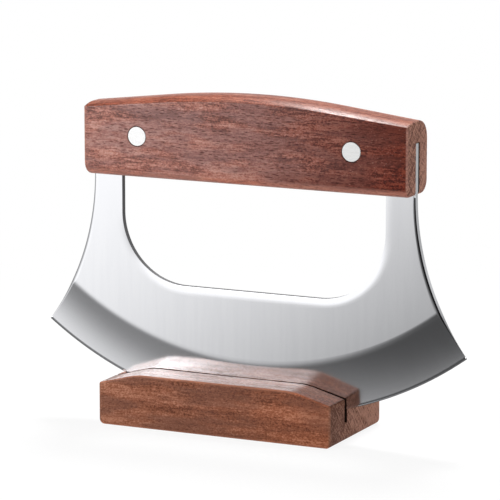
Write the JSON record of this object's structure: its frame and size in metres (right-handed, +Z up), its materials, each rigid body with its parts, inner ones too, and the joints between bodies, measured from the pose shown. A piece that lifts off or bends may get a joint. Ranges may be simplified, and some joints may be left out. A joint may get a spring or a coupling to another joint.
{
  "type": "ulu knife",
  "caption": "Rocking ulu knife with an arched polished blade, a finger window and a riveted wooden handle, standing upright in the slot of a low wooden block.",
  "frame": {"origin": "on the table, under the middle of the whole part: the knife's middle in X and the stand's middle in Y", "axes": "+X along the blade to the right tip as seen from the front, +Y from the front to the back, +Z up"},
  "size_m": [0.175, 0.047, 0.1296],
  "materials": {
    "stand_wood": "oiled red-brown hardwood",
    "handle_wood": "oiled red-brown hardwood",
    "blade_steel": "mirror-polished stainless steel",
    "rivet_metal": "satin stainless steel, sanded flush with the wood"
  },
  "bodies": {
    "stand": {"stand": "stand_wood"},
    "knife": {"blade": "blade_steel", "handle": "handle_wood", "rivet_left_tube": "rivet_metal", "rivet_left_pin": "rivet_metal", "rivet_right_tube": "rivet_metal", "rivet_right_pin": "rivet_metal"}
  },
  "joints": [
    {"name": "knife_lift", "type": "slide", "parent": "stand", "child": "knife", "axis": [0, 0, 1], "range_m": [0, 0.05]}
  ]
}
